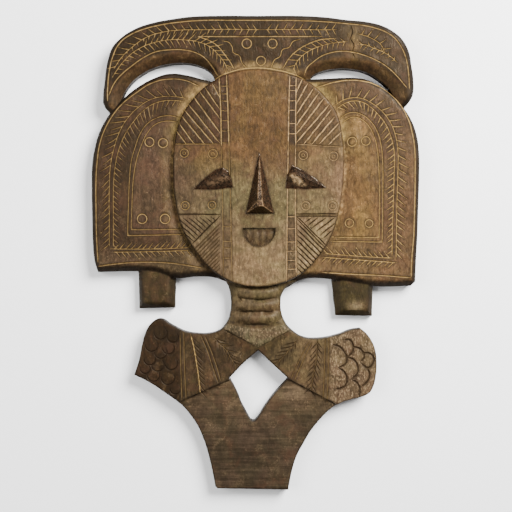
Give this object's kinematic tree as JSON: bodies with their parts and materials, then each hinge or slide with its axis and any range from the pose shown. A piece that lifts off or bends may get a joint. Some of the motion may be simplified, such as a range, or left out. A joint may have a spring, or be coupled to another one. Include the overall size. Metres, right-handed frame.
{
  "type": "carved wooden mask",
  "caption": "Flat carved wooden mask with an oval face on wide side panels, an arched crest above, and a ringed neck on an openwork lozenge below. Lies on its back or hangs on a wall.",
  "frame": {"origin": "the middle of the flat back, as the mask lies on it", "axes": "+X across the mask to its left shoulder, +Y from the foot to the crest, +Z out of the carved front"},
  "size_m": [0.3601, 0.5202, 0.043],
  "materials": {
    "wood": "dark stained and worn"
  },
  "bodies": {
    "root": {"carved_mask": "wood"}
  },
  "joints": []
}
